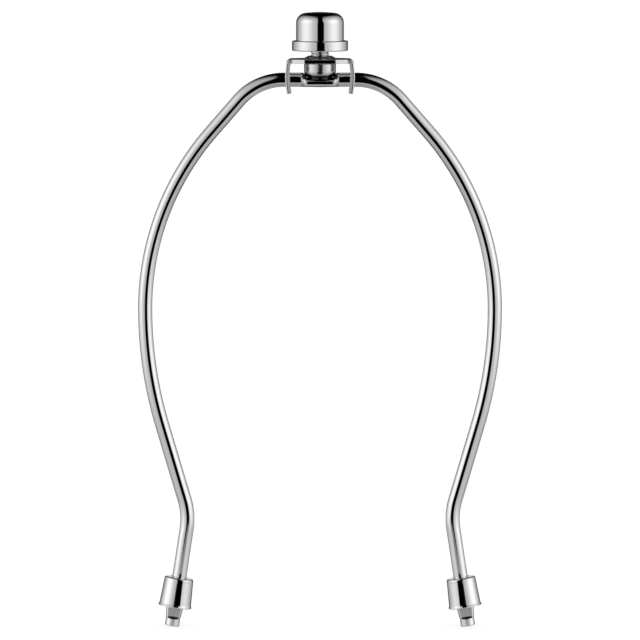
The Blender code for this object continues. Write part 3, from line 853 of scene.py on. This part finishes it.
# %% Turn the nut
NUT_RADIUS, BORE, BORE_THREAD = 5.5, 3.4, 0.24
NUT_GAP = 0.3
BORE_TOP = THREAD_TOP + NUT_GAP
FLANGE, NUT_FOOT = RIM_RADIUS - WALL - NUT_GAP, RIM_RADIUS - CRIMP - NUT_GAP
FLANGE_TOP, FLANGE_BOTTOM = RIM_TOP - WALL - NUT_GAP, RIM_BOTTOM + WALL + NUT_GAP
bore_rows = np.arange(RIM_BOTTOM + CHAMFER, BORE_TOP, 0.08)
nut_line = np.concatenate([
    rounded([(0, NUT_TOP), (NUT_RADIUS, NUT_TOP, 0.6), (NUT_RADIUS, FLANGE_TOP),
             (FLANGE, FLANGE_TOP), (FLANGE, FLANGE_BOTTOM), (NUT_FOOT, FLANGE_BOTTOM),
             (NUT_FOOT, RIM_BOTTOM, 0.25), (BORE + CHAMFER, RIM_BOTTOM, 0.1),
             (BORE, RIM_BOTTOM + CHAMFER)])[:-1],
    np.stack([np.full_like(bore_rows, BORE), bore_rows], axis=1),
    rounded([(BORE, BORE_TOP), (0, BORE_TOP)]),
])
nut_radius, nut_height = nut_line.T
in_bore = smooth((nut_height - RIM_BOTTOM - 0.3) / RUN_OUT) * (np.abs(nut_radius - BORE) < 0.05)
inner_groove = groove(nut_height[:, None] + PITCH / 2, turn_share)
nut = turned("finial_nut", nut_line, around=STUD_AROUND,
             relief=BORE_THREAD * in_bore[:, None] * inner_groove)
dress(nut, "finial_insert", "finial", plain_steel)

# %% [markdown]
# ## The sleeves
#
# Each sleeve is a little drawn cup with a hole in its closed end for the wire. It is slightly
# wider below, where it has to pass over the foot's head, and its open lip is rolled outwards
# so that fingers can lift it.
#
# The sleeve is made upright on its own axis and then carried onto the leg, which splays out by
# 8.65 degrees. That is done to the points, so the object itself stays unturned.

# %% Draw and place the sleeves
SLEEVE_BOTTOM, SLEEVE_TOP = 6.6, 16.9
sleeve_line = rounded([
    (2.75, SLEEVE_TOP, 0.12), (4.93, SLEEVE_TOP - 0.18, 0.8), (4.97, SLEEVE_TOP - 1.7, 0.8),
    (5.4, SLEEVE_BOTTOM + 0.9, 0.4), (5.65, SLEEVE_BOTTOM + 0.35, 0.2),
    (5.65, SLEEVE_BOTTOM, 0.15), (5.05, SLEEVE_BOTTOM, 0.15), (4.8, SLEEVE_BOTTOM + 0.9, 0.4),
    (4.35, SLEEVE_TOP - 0.8, 0.4), (2.75, SLEEVE_TOP - 0.7)], closed=True, step=0.25)


def onto_leg(side):
    """A function that carries points from a sleeve's axis to the leg on that side: sideways by
    (cos splay, sin splay) and up by (-sin splay, cos splay) from the end of the foot."""
    def carry(own):
        x, y, height = own[..., 0], own[..., 1], own[..., 2]
        return np.stack([
            side * (FOOT_X - height * math.sin(SPLAY)) + x * math.cos(SPLAY),
            y,
            FOOT_Z + height * math.cos(SPLAY) + side * x * math.sin(SPLAY)], axis=-1)
    return carry


for side, word in ((-1, "left"), (1, "right")):
    sleeve = turned(f"sleeve_{word}", sleeve_line, closed=True, around=112, place=onto_leg(side))
    dress(sleeve, f"{word}_sleeve", f"{word}_sleeve", chrome)

# %% [markdown]
# ## The studio
#
# Chrome is a picture of the room, so the room is part of the object's look. A photographer
# sets it up for that: white sheets to the left and right, a grey table, a dark ceiling, and
# the dark camera in front, which draws the black stripe down the middle of every round part.
#
# The world can be that room. Its colour is worked out from the direction that a ray leaves in:
# the azimuth, 0 towards the camera and 90 to either side, and the elevation. Rays that come
# straight from the camera see plain white instead, which is the photograph's background.
#
# The world is endlessly far away, though, and the camera with its dark hood is close. That is
# why the stripe leans towards the middle on both legs. So the hood is a real black card. Two
# small flags close to the sleeves keep the stripe on them black from top to bottom, and two
# white cards behind them light the sleeves' upper ends.

# %% Build the room round the harp
world = bpy.data.worlds.new("white sheets, grey table, dark ceiling")
bpy.context.scene.world = world
world.use_nodes = True
tree = world.node_tree
tree.nodes.clear()
direction = add(tree, "ShaderNodeTexCoord").outputs["Generated"]
split = add(tree, "ShaderNodeSeparateXYZ", {0: direction})
side = add(tree, "ShaderNodeMath", {0: split.outputs["X"]}, operation="ABSOLUTE")
front = add(tree, "ShaderNodeMath", {0: split.outputs["Y"], 1: -1.0}, operation="MULTIPLY")
azimuth = add(tree, "ShaderNodeMath", {0: side, 1: front}, operation="ARCTAN2")
elevation = add(tree, "ShaderNodeMath", {0: split.outputs["Z"]}, operation="ARCSINE")
azimuth, elevation = (add(tree, "ShaderNodeMath", {0: angle}, operation="DEGREES")
                      for angle in (azimuth, elevation))


def blend(level, target, *slopes):
    """Move a level towards a target. In words: each slope (value, low, high, at low, at high)
    is a share that changes smoothly as its value goes from low to high. The level goes the
    product of all the shares of the way to the target."""
    way = 1.0
    for value, low, high, at_low, at_high in slopes:
        share = add(tree, "ShaderNodeMapRange", {
            "Value": value, "From Min": low, "From Max": high, "To Min": at_low,
            "To Max": at_high}, interpolation_type="SMOOTHSTEP")
        way = add(tree, "ShaderNodeMath", {0: way, 1: share}, operation="MULTIPLY")
    return add(tree, "ShaderNodeMix", {"Factor": way, "A": level, "B": target})


# The table's grey goes over into the walls
room = blend(0.34, 0.52, (elevation, -70, -55, 0, 1))
room = blend(room, 0.57, (elevation, -27, -1, 0, 1))

# Two white sheets, one on either side, brightest a little above the horizon
lit = add(tree, "ShaderNodeMath", {0: room, 1: 0.72}, operation="ADD")
room = blend(room, lit, (azimuth, 18, 70, 0, 1), (azimuth, 76, 124, 1, 0),
             (elevation, -30, 10, 0, 1), (elevation, 18, 52, 1, 0))

# The dark ceiling comes down towards the back, and a little over the camera
ceiling = blend(71, -40, (azimuth, 80, 280, 0, 1))
over_camera = blend(12, 0, (azimuth, 0, 60, 0, 1))
ceiling = add(tree, "ShaderNodeMath", {0: ceiling, 1: over_camera}, operation="SUBTRACT")
above = add(tree, "ShaderNodeMath", {0: elevation, 1: ceiling}, operation="SUBTRACT")
room = blend(room, 0, (above, -23, 15, 0, 0.998))

# Less light from the front, from the wall behind the harp and from low down at the back
room = blend(room, 0, (elevation, -5, 30, 0, 1), (azimuth, 0, 27, 0.4, 0))
room = blend(room, 0, (elevation, -50, -22, 0, 1), (azimuth, 116, 162, 0, 0.95))
room = blend(room, 0, (elevation, -55, -42, 0, 1), (elevation, -26, -15, 1, 0),
             (azimuth, 88, 125, 0, 0.5))

# Matt surfaces are lit by one even level, and the camera sees plain white
PLAIN_LEVEL = 0.9
rays = add(tree, "ShaderNodeLightPath").outputs
for ray, plain in (("Is Diffuse Ray", PLAIN_LEVEL), ("Is Camera Ray", 1.0)):
    room = add(tree, "ShaderNodeMix", {"Factor": rays[ray], "A": room, "B": plain})
shine = add(tree, "ShaderNodeBackground", {"Color": (1, 1, 1, 1), "Strength": room})
add(tree, "ShaderNodeOutputWorld", {"Surface": shine})
print("world:", len(tree.nodes), "nodes")

# %% Hang the cards
CARD_DISTANCE = 190.0
CARD_HEIGHTS = (-42, -25, -4, 2, 10, 14, 30, 60, 100, 150, 190, 220, 260, 300, 820)
CARD_HALF_WIDTHS = (70, 80, 88, 88, 88, 88, 86, 84, 80, 70, 54, 53, 46, 44, 80)
CARD_CENTRES = (0, 0, 0, 0, 0, 0, 0, 0, 0, 4, 12, 12, 10, 6, 6)
CARD_STRENGTHS = (0, 0.4, 0.42, 0.5, 0.95, 1, 1, 1, 1, 1, 1, 1, 1, 1, 1)
FLAG_DISTANCE = 17.0
FLAG_HEIGHTS = (5.3, 5.9, 15.8, 16.4)
FLAG_HALF_WIDTHS = (6.25, 6.2, 5.15, 5.1)
FLAG_CENTRE = 44.35
FLAG_LEAN = 0.127
BOUNCE_DISTANCE = -50.0
BOUNCE_HEIGHTS = (16, 17, 34, 44)
BOUNCE_HALF_WIDTHS = (15, 15, 15, 15)
SOLID_IN_THE_MIDDLE = (0, 1, 1, 0)
CARD_ROWS, CARD_COLUMNS, CARD_SOFT = 400, 41, 0.2


def card_material(name, level):
    """A card that shows one level of light, and nothing where its mark solid is 0."""
    material, tree = new_material(name)
    edge = add(tree, "ShaderNodeAttribute", attribute_name="solid")
    face = add(tree, "ShaderNodeEmission", {"Color": (1, 1, 1, 1), "Strength": level})
    air = add(tree, "ShaderNodeBsdfTransparent")
    soft = add(tree, "ShaderNodeMixShader", {0: edge.outputs["Fac"], 1: air, 2: face})
    add(tree, "ShaderNodeOutputMaterial", {"Surface": soft})
    return material


black = card_material("black velvet card", 0.0)
white = card_material("white bounce card", 0.8)


def hang_card(name, material, distance, heights, half_widths, centres, strengths, lean=0.0):
    """A card in front of the harp, or behind it where the distance is less than 0. In words:
    each row at a height spans u = -1 to 1 across, x = centre + u half / 0.9. It is solid up to
    |u| = 0.8 and fades to nothing at |u| = 1, because its edges are out of focus, and its
    strength changes with height. Leaning lifts it by lean times the way from its centre."""
    height = np.linspace(heights[0], heights[-1], CARD_ROWS)[:, None]
    half, centre, strength = (np.interp(height, heights, values)
                              for values in (half_widths, centres, strengths))
    u = np.linspace(-1, 1, CARD_COLUMNS)[None, :]
    reach = u * half / (1 - CARD_SOFT / 2)
    points = np.stack([centre + reach, -distance + 0 * reach, height + lean * reach], axis=-1)
    solid = smooth((1 - np.abs(u)) / CARD_SOFT) * strength
    faces = grid_faces(CARD_ROWS, CARD_COLUMNS, columns_close=False)
    hung = make_mesh(name, points, faces, points, solid=solid)
    hung.data.materials.append(material)
    hung.visible_camera = hung.visible_diffuse = hung.visible_transmission = False


hang_card("black_card", black, CARD_DISTANCE, CARD_HEIGHTS, CARD_HALF_WIDTHS, CARD_CENTRES,
          CARD_STRENGTHS)
for side, word in ((-1, "left"), (1, "right")):
    hang_card(f"black_flag_{word}", black, FLAG_DISTANCE, FLAG_HEIGHTS, FLAG_HALF_WIDTHS,
              (side * FLAG_CENTRE,) * 4, SOLID_IN_THE_MIDDLE, lean=side * FLAG_LEAN)
    hang_card(f"bounce_card_{word}", white, BOUNCE_DISTANCE, BOUNCE_HEIGHTS, BOUNCE_HALF_WIDTHS,
              (side * FOOT_X,) * 4, SOLID_IN_THE_MIDDLE)

# %% [markdown]
# ## The floor
#
# The harp stands on a plain white floor. White paper lit by a white room would do, but the
# photograph's background has no grey in it at all. So most of the floor's white is its own
# glow, and a small share is paper that still takes a faint shadow where the feet stand.

# %% Lay the floor
GLOW, GLOW_SHARE = 1.05, 0.8
FLOOR_HALF = 12.0
floor_material, tree = new_material("white paper")
paper = add(tree, "ShaderNodeBsdfDiffuse", {"Color": linear("#FFFFFF")})
glow = add(tree, "ShaderNodeEmission", {"Color": (1, 1, 1, 1), "Strength": GLOW})
faint = add(tree, "ShaderNodeMixShader", {0: GLOW_SHARE, 1: paper, 2: glow})
below = add(tree, "ShaderNodeNewGeometry").outputs["Backfacing"]
clear = add(tree, "ShaderNodeBsdfTransparent")
seen = add(tree, "ShaderNodeMixShader", {0: below, 1: faint, 2: clear})
add(tree, "ShaderNodeOutputMaterial", {"Surface": seen})
floor_mesh = bpy.data.meshes.new("floor")
floor_mesh.from_pydata([(FLOOR_HALF * x, FLOOR_HALF * y, 0)
                        for x, y in ((-1, -1), (1, -1), (1, 1), (-1, 1))], [], [(0, 1, 2, 3)])
floor_mesh.materials.append(floor_material)
floor = bpy.data.objects.new("floor", floor_mesh)
bpy.context.scene.collection.objects.link(floor)
floor.visible_glossy = False
print("floor laid")

# %% [markdown]
# ## The camera
#
# The photograph was taken from far away and a little above, through a long lens: the wire
# doesn't get thinner towards the feet. 2.65 m and a 440 mm lens give the same flat look.

# %% Set up the camera
CAMERA_PLACE = Vector((0.0, -2.650, 0.32047))
CAMERA_AIM = Vector((0.0, 0.0, 0.10487))
FRAME_WIDTH = 0.2176
SENSOR = 36.0
lens = bpy.data.cameras.new("camera")
lens.sensor_width = SENSOR
lens.lens = SENSOR * (CAMERA_AIM - CAMERA_PLACE).length / FRAME_WIDTH
lens.clip_end = 100.0
camera = bpy.data.objects.new("camera", lens)
camera.location = CAMERA_PLACE
camera.rotation_euler = (CAMERA_AIM - CAMERA_PLACE).to_track_quat("-Z", "Y").to_euler()
bpy.context.scene.collection.objects.link(camera)
bpy.context.scene.camera = camera
bpy.context.scene.view_settings.view_transform = "Standard"
print(f"lens {lens.lens:.1f} mm")
